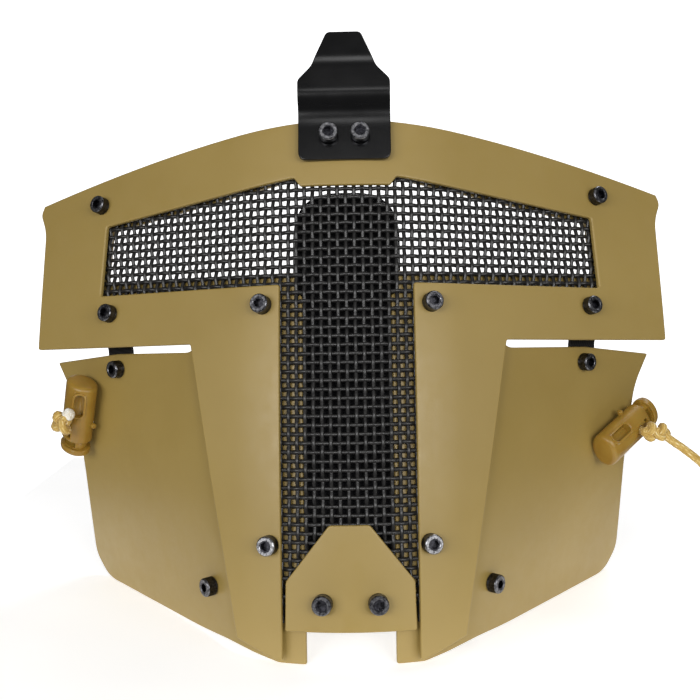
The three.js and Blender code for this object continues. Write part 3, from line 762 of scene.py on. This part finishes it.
def rule_cells(blank, columns, rows):
    """Cuts the sheet along columns and rows, then leaves one face in each cell."""
    edit(blank, "EDGE")
    bpy.ops.mesh.remove_doubles(threshold=1e-4)
    cuts = [((x, 0, 0), (1, 0, 0)) for x in columns] + [((0, z, 0), (0, 1, 0)) for z in rows]
    for place, direction in cuts:
        bpy.ops.mesh.select_all(action="SELECT")
        bpy.ops.mesh.bisect(plane_co=place, plane_no=direction)
        bpy.ops.mesh.mark_seam()
    bpy.ops.mesh.select_all(action="SELECT")
    bpy.ops.mesh.dissolve_limited(angle_limit=math.radians(0.05), delimit={"SEAM"})
    bpy.ops.mesh.mark_seam(clear=True)
    leave_edit()


def bent_sheet(name, loops, surface, front, thickness, rim, columns, rows):
    """A sheet laid on a bent surface, its front at a height before that surface."""
    sheet = cut_blank(name, loops, thickness, rim)
    rule_cells(sheet, columns, rows)
    places = np.array([v.co for v in sheet.data.vertices])
    bent, _ = on_surface(surface, places[:, 0], places[:, 1], places[:, 2] - thickness / 2 + front)
    for vertex, place in zip(sheet.data.vertices, bent):
        vertex.co = TO_WORLD @ Vector(place)
    sheet.data.update()
    smooth(sheet, 50)
    apply_modifier(sheet, "WEIGHTED_NORMAL", mode="FACE_AREA", keep_sharp=True)
    return sheet


def every(step, low, high):
    return [low + step * i for i in range(int((high - low) / step) + 1)]


FRONT_COLUMNS = every(3.0, -45, 45) + [-110, -90, -75, -60, 60, 75, 90, 110]
FRONT_ROWS = every(5.0, -100, 80)
CHEEK_COLUMNS = [18, 22, 26, 30] + every(2.0, 33, 67) + every(6.0, 72, 126)
CHEEK_ROWS = every(5.0, -105, 20)

# Screws: x and z of each right-hand one, its surface, and how far its clamped stack goes back
HOOK_SHEET = 1.5
SCREWS = {
    "brow": (99.7, 59.8, front_surface, PLATE + GAP + SCREEN),
    "temple": (94.1, 15.6, front_surface, CHEEK_LAYER + STRAP),
    "strip_top": (30.2, 17.1, front_surface, CHEEK_LAYER + PLATE),
    "strip_foot": (28.1, -67.3, front_surface, CHEEK_LAYER + PLATE),
    "chin": (9.5, -87.0, front_surface, PLATE + GAP + SCREEN),
    "cheek_top": (93.8, -6.4, cheek_surface, STRAP_LAYER + STRAP),
    "cheek_foot": (51.6, -86.6, cheek_surface, PLATE),
}
HOOK_SCREW = (5.8, 78.8)
SCREW_HOLE = 2.35


def screw_holes(surface, names, signs, depth=0.0):
    holes = []
    for name in names:
        x, z, seat, _ = SCREWS[name]
        for sign in signs:
            axis, _ = on_surface(seat, sign * x, z, -depth)
            holes.append(round_hole(surface, axis[0], axis[2], SCREW_HOLE))
    return holes


def hook_holes(surface, play):
    x, z = HOOK_SCREW
    return [round_hole(surface, sign * x, z, SCREW_HOLE + play) for sign in (-1, 1)]


# Visor: brow, wings and the two face strips in one sheet
BROW_TOP = 85.8
BROW_PULL = (52.0, 84.9)
BROW_END = (129.3, 62.5)
SLOT_FOOT, SLOT_END_FOOT, SLOT_END_X, SLOT_END_TOP = 24.6, 23.0, 98.6, 51.2
STEP_X, STEP_TOP, NOSE_X, NOSE_TOP = 19.0, 64.0, 24.4, 60.8


def visor():
    arch = rounded(Vector((0, BROW_TOP)), Vector(BROW_PULL), Vector(BROW_END), 20)
    brow = [(x, z, 0) for x, z in arch[1:]]
    side = [
        (130.9, 58.8, 2), (127.9, 51.5, 4), (128.8, 1.8, 1), (*STRIP_TOP, 1), (*STRIP_FOOT, 0.6),
        (25.4, -108, 0.8), (NOSE_X, -107.3, 0.4), (NOSE_X, SLOT_FOOT, 1),
        (SLOT_END_X + 0.8, SLOT_END_FOOT, 1),
        (SLOT_END_X - 0.8, SLOT_END_TOP, 1), (STEP_X, STEP_TOP, 0.8), (16.7, NOSE_TOP, 0.8),
    ]
    holes = screw_holes(front_surface, ["brow", "temple", "strip_top", "strip_foot"], (-1, 1))
    holes += hook_holes(front_surface, 0.3)
    loops = [outline(both_halves(brow + side)), *holes]
    return bent_sheet("visor_shell", loops, front_surface, 0, PLATE, PLATE_RIM, FRONT_COLUMNS, FRONT_ROWS)


def chin():
    rows = both_halves([(7.2, -60.1, 1), (22.8, -80, 1), (23.2, -97.2, 0.8)])
    loops = [outline(rows), *screw_holes(front_surface, ["chin"], (-1, 1))]
    return bent_sheet("chin_shell", loops, front_surface, 0, PLATE, PLATE_RIM, FRONT_COLUMNS, FRONT_ROWS)


CHEEK_OUTLINE = [
    (16, -109.8, 0.8), (16, 21, 2), (46, 21, 3), (59.7, 0.3, 3), (95, -0.4, 0), (127.4, -4.3, 0.8),
    (121, -17.5, 6), (117.6, -46, 10), (117.3, -91, 4), (110.8, -101, 5), (85, -103.3, 0),
    (58.4, -105.4, 6), (42, -105.4, 6), (26, -109.8, 0.8),
]


def cheek(side):
    sign = SIDES[side]
    rows = CHEEK_OUTLINE if sign > 0 else mirrored(CHEEK_OUTLINE)
    holes = screw_holes(cheek_surface, ["strip_top", "strip_foot"], [sign], CHEEK_LAYER)
    holes += screw_holes(cheek_surface, ["cheek_top", "cheek_foot"], [sign])
    holes.append(round_hole(cheek_surface, *LOCK_HOLES[side], 2.2))
    columns = [sign * x for x in CHEEK_COLUMNS]
    return bent_sheet(f"{side}_cheek_shell", [outline(rows), *holes], cheek_surface, 0, PLATE, PLATE_RIM,
                      columns, CHEEK_ROWS)


fit_out(visor(), "visor_plate", TAN_SHEET)
fit_out(chin(), "chin_plate", TAN_SHEET)
for side in SIDES:
    fit_out(cheek(side), f"{side}_cheek_plate", TAN_SHEET)


# Link straps, backing strips, nose pad and helmet hook

STRAP_MIDDLE, STRAP_HALF_WIDTH = 94.6, 5.9


def link_strap(side):
    sign = SIDES[side]
    middle = sign * STRAP_MIDDLE
    top, foot = SCREWS["temple"][1] + 6, SCREWS["cheek_top"][1] - 6
    one, other = middle + STRAP_HALF_WIDTH, middle - STRAP_HALF_WIDTH
    rows = [(one, top, 2), (other, top, 2), (other, foot, 2), (one, foot, 2)]
    holes = screw_holes(strap_surface, ["temple"], [sign], CHEEK_LAYER)
    holes += screw_holes(strap_surface, ["cheek_top"], [sign], STRAP_LAYER)
    return bent_sheet(f"{side}_link_webbing", [outline(rows), *holes], strap_surface, 0, STRAP, THIN_RIM,
                      [middle - 2.5, middle, middle + 2.5], every(1.0, foot + 2, top - 2))


BACKING_OUTLINE = [
    (19.5, 23.2, 0.8), (107, 23.2, 1.5), (107, 53, 1.5), (19.5, 68.2, 0.8), (19.5, 64.6, 0.8),
    (98.4, 50.2, 0.8), (99.6, 28.6, 0.8), (19.5, 30, 0.8),
]


def backing_strip(side):
    """A strip round one half of the window behind the screen, seen through the wire."""
    rows = BACKING_OUTLINE if SIDES[side] > 0 else mirrored(BACKING_OUTLINE)
    return bent_sheet(f"{side}_backing", [outline(rows)], front_surface, -CHEEK_LAYER, BACKING, 0.25,
                      FRONT_COLUMNS, FRONT_ROWS)


def nose_pad():
    rows = both_halves([(21.8, 60.5, 18), (21.6, 9, 3.9), (17.6, 2, 3.9), (16.9, -32, 2.4),
                        (19.8, -37, 2.4), (18.8, -76, 4)])
    front = -CHEEK_LAYER - PLATE - 0.4
    return bent_sheet("nose_foam", [outline(rows, 10)], front_surface, front, PAD, PAD_RIM,
                      every(4.0, -14, 14), every(6.0, -70, 56))


HOOK_FOOT = 69.6
HOOK_HALF_WIDTH = 17.0


def hook_line():
    """The hook seen from the side, y against z, each bend rounded from below it to above it."""
    seat = (GAP + HOOK_SHEET / 2) * math.hypot(1, VISOR_LEAN)
    bends = [(float(lean_depth(z)) - seat, z, below, 2.6) for z, below in ((HOOK_FOOT, 0), (88.0, 5.6))]
    bends += [(14.8, 93.4, 2.6, 2.6), (17.6, 107.0, 2.6, 2.6), (24.7, 119.4, 0, 0)]
    points = [Vector(bends[0][:2])]
    for before, bend, after in zip(bends, bends[1:], bends[2:]):
        corner = Vector(bend[:2])
        start = corner + bend[2] * (Vector(before[:2]) - corner).normalized()
        end = corner + bend[3] * (Vector(after[:2]) - corner).normalized()
        points += rounded(start, corner, end, 12)
    points.append(Vector(bends[-1][:2]))
    return points


HOOK_LINE = hook_line()


def hook_surface(x, z):
    return np.interp(z, [p.y for p in HOOK_LINE], [p.x for p in HOOK_LINE]) + 0 * x


def helmet_hook():
    rows = both_halves([(6.4, 119.0, 1.6), (11.9, 104.7, 1.5), (HOOK_HALF_WIDTH, 99.4, 1.2),
                        (HOOK_HALF_WIDTH, HOOK_FOOT + 0.3, 3.2)])
    loops = [outline(rows), *hook_holes(hook_surface, 0.15)]
    return bent_sheet("hook_pressing", loops, hook_surface, HOOK_SHEET / 2, HOOK_SHEET, THIN_RIM,
                      [-12, -6, 0, 6, 12], every(0.8, HOOK_FOOT + 0.7, 118.6))


for side in SIDES:
    fit_out(link_strap(side), f"{side}_link_strap", BLACK_STRAP)
    fit_out(backing_strip(side), f"{side}_backing_strip", TAN_SHEET)
pad = fit_out(nose_pad(), "nose_pad", BLACK_FOAM)
fit_out(helmet_hook(), "helmet_hook", BLACK_STEEL)


# Wire screen: crimped wires over and under each other, in a T behind the visor's window

WEAVE = 3.175
WIRE = 1.6
CRIMP = 0.35
WIRE_SIDES = 6
WAVE_STEPS = 4
SCREEN_HALF, SCREEN_TOP, SCREEN_FOOT = 107.0, 66.0, -95.0
SCREEN_CREST, SCREEN_FALL = 70.0, 0.055
BAND_HALF, SLOT_EDGE = 37.5, 11.5
# Along the bent front from the nose to where the straight wing starts
WING_ARC = 42.9


def arc_x(arc):
    """The x of a place at an arc length across the bent front."""
    rounded = np.minimum(np.abs(arc), BROW_RADIUS * WING_ANGLE)
    wing = np.abs(arc) - rounded
    return np.sign(arc) * (BROW_RADIUS * np.sin(rounded / BROW_RADIUS) + wing * math.cos(WING_ANGLE))


def wires(name, lines):
    """One mesh of all the wires: each line is rows of arc, z and height in the screen's layer."""
    vertices, faces = [], []
    turn = np.arange(WIRE_SIDES) * 2 * math.pi / WIRE_SIDES
    ring = np.stack([np.cos(turn), np.sin(turn)], -1) * WIRE / 2
    for line, upright in lines:
        arc, z, height = line.T
        first = len(vertices)
        count = len(line)
        sideways = ring[None, :, 0]
        depth = height[:, None] + ring[None, :, 1]
        flat_arc = arc[:, None] + upright * sideways
        flat_z = z[:, None] - (not upright) * sideways
        points, _ = on_surface(front_surface, arc_x(flat_arc), flat_z, depth - PLATE - GAP - SCREEN / 2)
        vertices.extend(points.reshape(-1, 3))
        faces.extend(tube_faces(first, count, WIRE_SIDES))
        faces.append([first + s for s in reversed(range(WIRE_SIDES))])
        faces.append([first + (count - 1) * WIRE_SIDES + s for s in range(WIRE_SIDES)])
    obj = mesh_object(name, [TO_WORLD @ Vector(v) for v in vertices], faces)
    edit(obj, "FACE")
    bpy.ops.mesh.normals_make_consistent(inside=False)
    leave_edit()
    smooth(obj, 70)
    return obj


def crimp(place, row):
    return CRIMP * np.sin(math.pi * (place / WEAVE + row + 0.5))


def wire_run(low, high):
    steps = int(round((high - low) / WEAVE * WAVE_STEPS))
    return np.linspace(low, high, steps + 1)


def screen_wires():
    arc_end = WING_ARC + (SCREEN_HALF - WING_X) / math.cos(WING_ANGLE)
    band_end = BROW_RADIUS * math.asin(BAND_HALF / BROW_RADIUS)
    upright, level = [], []
    for column in range(-int(arc_end / WEAVE), int(arc_end / WEAVE) + 1):
        arc = column * WEAVE
        foot = SCREEN_FOOT if abs(arc) < band_end else SLOT_EDGE
        top = SCREEN_CREST - SCREEN_FALL * abs(arc)
        z = wire_run(foot, top)
        upright.append((np.stack([0 * z + arc, z, crimp(z, column)], -1), True))
    for row in range(int(SCREEN_FOOT / WEAVE) + 1, int(SCREEN_TOP / WEAVE) + 1):
        z = row * WEAVE
        end = arc_end if z > SLOT_EDGE + WEAVE / 2 else band_end
        arc = wire_run(-end, end)
        level.append((np.stack([arc, 0 * arc + z, crimp(arc, row + 1)], -1), False))
    return joined("woven_wires", [wires("upright_wires", upright), wires("level_wires", level)])


fit_out(screen_wires(), "wire_screen", BLACK_WIRE)


# Turned and cut pieces, in millimetres about z until they are copied to their places

def turned(name, profile, steps):
    """A solid of revolution about z from its profile of r and z, from axis to axis."""
    edges = [(i, i + 1) for i in range(len(profile) - 1)]
    obj = mesh_object(name, [(r, 0, z) for r, z in profile], [], edges)
    edit(obj)
    bpy.ops.mesh.spin(steps=steps, angle=2 * math.pi, center=(0, 0, 0), axis=(0, 0, 1))
    bpy.ops.mesh.select_all(action="SELECT")
    bpy.ops.mesh.remove_doubles(threshold=1e-4)
    bpy.ops.mesh.normals_make_consistent(inside=False)
    leave_edit()
    return obj


def rod(radius, length, place, turn=(0, 0, 0), sides=32):
    deselect()
    bpy.ops.mesh.primitive_cylinder_add(vertices=sides, radius=radius, depth=length, location=place,
                                        rotation=turn)
    bpy.ops.object.transform_apply()
    return bpy.context.object


def block(size, place):
    deselect()
    bpy.ops.mesh.primitive_cube_add(size=1, location=place, scale=size)
    bpy.ops.object.transform_apply()
    return bpy.context.object


def combine(obj, tool, operation="DIFFERENCE"):
    apply_modifier(obj, "BOOLEAN", operation=operation, object=tool, solver="EXACT")
    bpy.data.objects.remove(tool)


# Socket screws: a knurled cap head on a shank whose end shows a few turns of thread behind the nut

HEAD_RADIUS, HEAD_HEIGHT = 3.5, 4.0
HEAD_KNURLS = 36
KNURL_DEPTH = 0.16
KNURL_FOOT, KNURL_TOP = 0.4, 3.3
SOCKET_RADIUS, SOCKET_DEPTH = 1.75, 2.2
RIM_INNER = 2.05
SHANK_RADIUS, SHANK_PAST = 2.0, 1.2
THREAD_PITCH, THREAD_DEPTH = 0.7, 0.32
NUT_RADIUS, NUT_HEIGHT = 4.0, 3.2
PATTERN_SHANK = 8.0
SOCKET_TURN = 0.7
# These heads get a bright painted highlight on their top rims; the others get a grey one
HIGHLIGHT_SCREWS = ("strip_foot", "hook")


def screw_pattern():
    thread = []
    for i in range(6):
        z = -PATTERN_SHANK + 0.35 + i * THREAD_PITCH
        thread += [(SHANK_RADIUS - THREAD_DEPTH, z), (SHANK_RADIUS, z + THREAD_PITCH / 2)]
    profile = [(0, -PATTERN_SHANK), (SHANK_RADIUS - THREAD_DEPTH, -PATTERN_SHANK), *thread,
               (SHANK_RADIUS, 0), (HEAD_RADIUS - 0.15, 0), (HEAD_RADIUS, 0.15), (HEAD_RADIUS, KNURL_FOOT),
               (HEAD_RADIUS, KNURL_TOP), (HEAD_RADIUS, 3.45), (HEAD_RADIUS - 0.12, 3.75),
               (HEAD_RADIUS - 0.45, HEAD_HEIGHT), (RIM_INNER + 0.15, HEAD_HEIGHT),
               (RIM_INNER, HEAD_HEIGHT - 0.12), (0, HEAD_HEIGHT - 0.12)]
    screw = turned("screw_pattern", profile, 2 * HEAD_KNURLS)
    for v in screw.data.vertices:
        radius = math.hypot(v.co.x, v.co.y)
        notch = round(math.atan2(v.co.y, v.co.x) / math.pi * HEAD_KNURLS) % 2
        if notch and radius > HEAD_RADIUS - 0.05 and KNURL_FOOT - 0.01 < v.co.z < KNURL_TOP + 0.01:
            v.co.xy = v.co.xy * (1 - KNURL_DEPTH / radius)
    combine(screw, rod(SOCKET_RADIUS, 2 * SOCKET_DEPTH, (0, 0, HEAD_HEIGHT), sides=6))
    for steel in (SCREW_BLACK, SCREW_RIM_HIGHLIGHT, SCREW_RIM_GREY_HIGHLIGHT):
        screw.data.materials.append(steel)
    # The top rim faces take the lighter steel: a painted highlight
    for face in screw.data.polygons:
        centre = face.center
        top_rim_highlight = centre.z > 3.4 and math.hypot(centre.x, centre.y) > RIM_INNER
        face.material_index = int(top_rim_highlight)
    smooth(screw, 35)
    return screw


def nut_pattern():
    """A hexagon nut with turned chamfers; its front face is at z = 0 and the nut goes down."""
    nut = rod(NUT_RADIUS, NUT_HEIGHT, (0, 0, -NUT_HEIGHT / 2), sides=6)
    flat, wide = NUT_RADIUS - 0.5, NUT_RADIUS + 0.1
    profile = [(0, 0), (flat, 0), (wide, -0.35), (wide, 0.35 - NUT_HEIGHT), (flat, -NUT_HEIGHT),
               (0, -NUT_HEIGHT)]
    combine(nut, turned("nut_chamfer", profile, 48), "INTERSECT")
    combine(nut, rod(SHANK_RADIUS + 0.1, 3 * NUT_HEIGHT, (0, 0, 0)))
    nut.data.materials.append(SCREW_BLACK)
    smooth(nut, 25)
    return nut


def screw_places():
    """Each screw's name, the place under its head, its direction, and its stack behind that place."""
    places = []
    for side, sign in SIDES.items():
        for name, (x, z, surface, stack) in SCREWS.items():
            point, normal = on_surface(surface, sign * x, z, GAP)
            places.append((side, name, Vector(point), Vector(normal), stack + GAP))
        x, z = HOOK_SCREW
        _, normal = on_surface(front_surface, 0.0, z, 0.0)
        seat = 2 * GAP + HOOK_SHEET
        point = Vector((sign * x, float(lean_depth(z)), z)) + Vector(normal) * seat
        places.append((side, "hook", point, Vector(normal), PLATE + GAP + 0.3 + seat))
    return places


def fasten():
    screw, nut = screw_pattern(), nut_pattern()
    for i, (side, name, place, direction, stack) in enumerate(screw_places()):
        facing = direction.to_track_quat("Z", "Y").to_matrix().to_4x4()
        turn = facing @ Matrix.Rotation(SOCKET_TURN * i, 4, "Z")
        seat = TO_WORLD @ Matrix.Translation(place) @ turn
        length = stack + GAP + NUT_HEIGHT + SHANK_PAST
        piece = copied(screw, f"{side}_{name}_cap_screw", Matrix.Identity(4))
        for v in piece.data.vertices:
            if v.co.z < -0.1:
                v.co.z -= length - PATTERN_SHANK
        piece.data.transform(seat)
        # The other screws' top rims take the grey painted highlight
        if name not in HIGHLIGHT_SCREWS:
            for face in piece.data.polygons:
                face.material_index *= 2
        fit_out(piece, f"{side}_{name}_screw", None)
        hexagon = copied(nut, f"{side}_{name}_hex_nut", seat @ Matrix.Translation((0, 0, -stack - GAP)))
        fit_out(hexagon, f"{side}_{name}_nut", None)
    bpy.data.objects.remove(screw)
    bpy.data.objects.remove(nut)


fasten()


# Cord locks: an oval barrel with a flat end and a long window, and a sprung button that clamps the cord

OVAL = LOCK_FLAT / 7.4
BARREL_PROFILE = [
    (0, -19.5), (5.0, -19.45), (6.4, -19.2), (7.1, -18.6), (7.4, -17.7), (7.4, 6.2), (7.1, 6.6), (0, 6.6),
]
BORE_RADIUS, BORE_FLOOR = 3.9, -9.2
NECK_RADIUS, NECK_FOOT = 5.6, 6.0
MOUTH_FLOOR = 2.6
BUTTON_PROFILE = [
    (0, NECK_FOOT), (NECK_RADIUS, NECK_FOOT), (NECK_RADIUS, 10.3), (6.9, 10.3), (7.2, 10.6),
    (7.2, 12.0), (6.9, 12.9), (5.9, 13.6), (4.0, 13.95), (0, 14),
]
STEM_RADIUS, STEM_END = 3.6, -5.6
BUTTON_TRAVEL = 3.0
CORD_HOLE = 2.1
WINDOW_LENGTH, WINDOW_WIDTH, WINDOW_PLACE, WINDOW_FLOOR = 10.5, 4.0, -11.25, 4.2
WINDOW_RIM, WINDOW_RIM_TOP = 0.8, 7.0
WINDOW_TURN = math.radians(-52)
LATCH_TURN = math.radians(-15)


def oval(obj):
    """Narrows a turned piece along x, so that it lies lower on the cheek."""
    obj.data.transform(Matrix.Diagonal((OVAL, 1, 1, 1)))
    return obj


def long_hole(length, width, depth):
    """A prism with round ends, long in x, for cutting a slot."""
    a, b = length / 2, width / 2
    rows = [(-a, -b, b * 0.98), (a, -b, b * 0.98), (a, b, b * 0.98), (-a, b, b * 0.98)]
    hole = cut_blank("long_hole", [outline(rows, 8)], depth, 0)
    edit(hole)
    bpy.ops.mesh.remove_doubles(threshold=1e-4)
    leave_edit()
    return hole


def window_block(margin, low, high):
    """The window's prism, grown by a margin, between two heights over the barrel's axis."""
    prism = long_hole(WINDOW_LENGTH + 2 * margin, WINDOW_WIDTH + 2 * margin, high - low)
    out = Vector((math.cos(WINDOW_TURN), math.sin(WINDOW_TURN), 0))
    up = Vector((0, 0, 1))
    turn = Matrix((up, out.cross(up), out)).transposed().to_4x4()
    prism.data.transform(Matrix.Translation(out * (low + high) / 2 + up * WINDOW_PLACE) @ turn)
    return prism


def soften(obj, width):
    apply_modifier(obj, "BEVEL", width=width, segments=3, limit_method="ANGLE",
                   angle_limit=math.radians(35))
    smooth(obj, 40)


def barrel_pattern():
    barrel = oval(turned("barrel_pattern", BARREL_PROFILE, 48))
    combine(barrel, window_block(WINDOW_RIM, BORE_RADIUS + 0.6, WINDOW_RIM_TOP), "UNION")
    combine(barrel, rod(BORE_RADIUS, 20, (0, 0, BORE_FLOOR + 10), sides=48))
    combine(barrel, oval(rod(NECK_RADIUS + 0.3, 10, (0, 0, MOUTH_FLOOR + 5), sides=48)))
    combine(barrel, rod(CORD_HOLE, 30, (0, 0, 0), (0, math.pi / 2, 0)))
    combine(barrel, window_block(0, WINDOW_FLOOR, WINDOW_RIM_TOP + 2))
    combine(barrel, block((3, 1.7, 1.9), (LOCK_FLAT - 0.3, -2.2, 4.2)))
    soften(barrel, 0.22)
    peg = rod(1.1, 4.0, (-2.4, -6.4, -1.5), (math.pi / 2, 0, 0), 20)
    soften(peg, 0.25)
    return joined("barrel_pattern", [barrel, peg])


def button_pattern():
    button = oval(turned("button_pattern", BUTTON_PROFILE, 48))
    stem = rod(STEM_RADIUS, 8 - STEM_END, (0, 0, (8 + STEM_END) / 2), sides=48)
    combine(button, stem, "UNION")
    cord_slot = long_hole(2 * CORD_HOLE + BUTTON_TRAVEL, 2 * CORD_HOLE, 30)
    turn = Matrix(((0, 0, 1), (0, 1, 0), (-1, 0, 0))).to_4x4()
    cord_slot.data.transform(Matrix.Translation((0, 0, BUTTON_TRAVEL / 2)) @ turn)
    combine(button, cord_slot)
    latch_hole = block((3.4, 6.4, 2.2), (4.6, 0, 8.9))
    latch_hole.data.transform(Matrix.Rotation(LATCH_TURN, 4, "Z"))
    combine(button, latch_hole)
    soften(button, 0.2)
    return button


def add_locks():
    barrel, button = barrel_pattern(), button_pattern()
    for side in SIDES:
        piece = copied(barrel, f"{side}_cord_lock", LOCK_FRAMES[side])
        fit_out(piece, f"{side}_lock_barrel", LOCK_PLASTIC)
        push = copied(button, f"{side}_cord_lock_button", LOCK_FRAMES[side])
        fit_out(push, f"{side}_lock_button", LOCK_PLASTIC, f"{side}_button")
    bpy.data.objects.remove(barrel)
    bpy.data.objects.remove(button)


add_locks()
